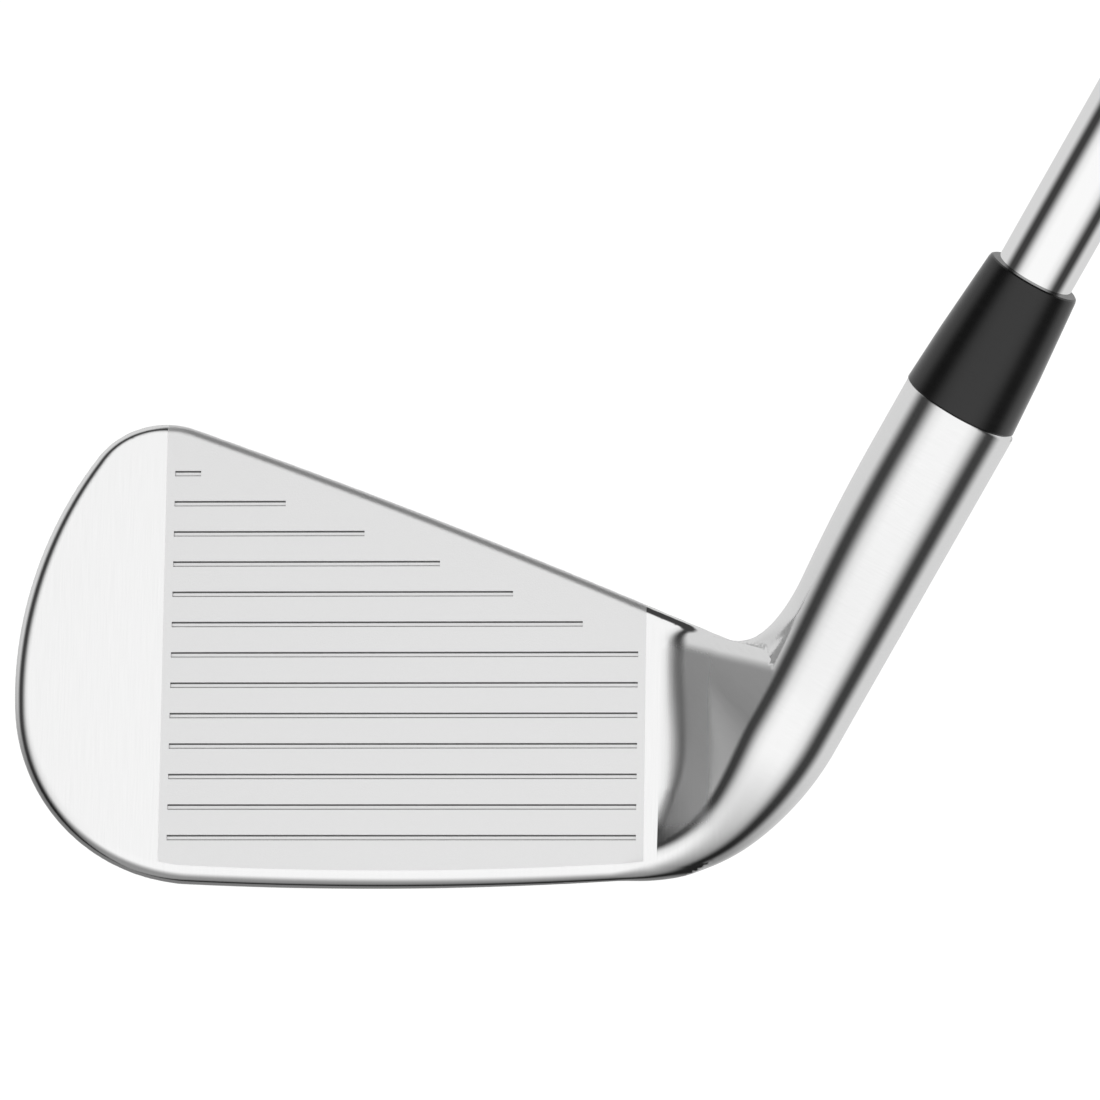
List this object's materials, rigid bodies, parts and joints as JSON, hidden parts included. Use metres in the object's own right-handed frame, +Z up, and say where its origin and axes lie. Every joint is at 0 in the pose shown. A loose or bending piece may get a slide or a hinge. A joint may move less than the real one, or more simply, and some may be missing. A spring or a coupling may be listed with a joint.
{
  "type": "golf iron",
  "caption": "Right-handed golf iron: grooved steel head with a cavity back, ferrule, stepped chromed shaft and rubber grip.",
  "frame": {"origin": "point where the sole touches the ground with the club at address", "axes": "+Z up, +X from toe to heel, +Y behind the striking face; the shaft rises towards +X at the lie angle"},
  "size_m": [0.5666, 0.0392, 0.85],
  "materials": {
    "head_steel": "polished and brushed forged steel",
    "face_steel": "blasted matt steel between polished margins",
    "tungsten": "sintered, dark grey",
    "damper_polymer": "soft black polymer",
    "adhesive_tape": "thin white bonding tape",
    "badge_aluminium": "fine brushed, plain",
    "ferrule_plastic": "polished black",
    "epoxy": "cured structural epoxy",
    "plug_brass": "turned",
    "shaft_chrome": "mirror chrome plate on steel",
    "band_film": "plain dark film",
    "grip_tape": "creped paper tape",
    "grip_rubber": "moulded, fine texture",
    "cap_rubber": "moulded hard rubber"
  },
  "bodies": {
    "root": {"head_body": "head_steel", "face_plate": "face_steel", "toe_weight": "tungsten", "heel_weight": "tungsten", "damper": "damper_polymer", "badge_tape": "adhesive_tape", "back_badge": "badge_aluminium", "ferrule": "ferrule_plastic", "hosel_epoxy": "epoxy", "tip_weight": "plug_brass", "shaft": "shaft_chrome", "shaft_band": "band_film", "grip_tape": "grip_tape", "grip": "grip_rubber", "grip_cap": "cap_rubber"}
  },
  "joints": []
}
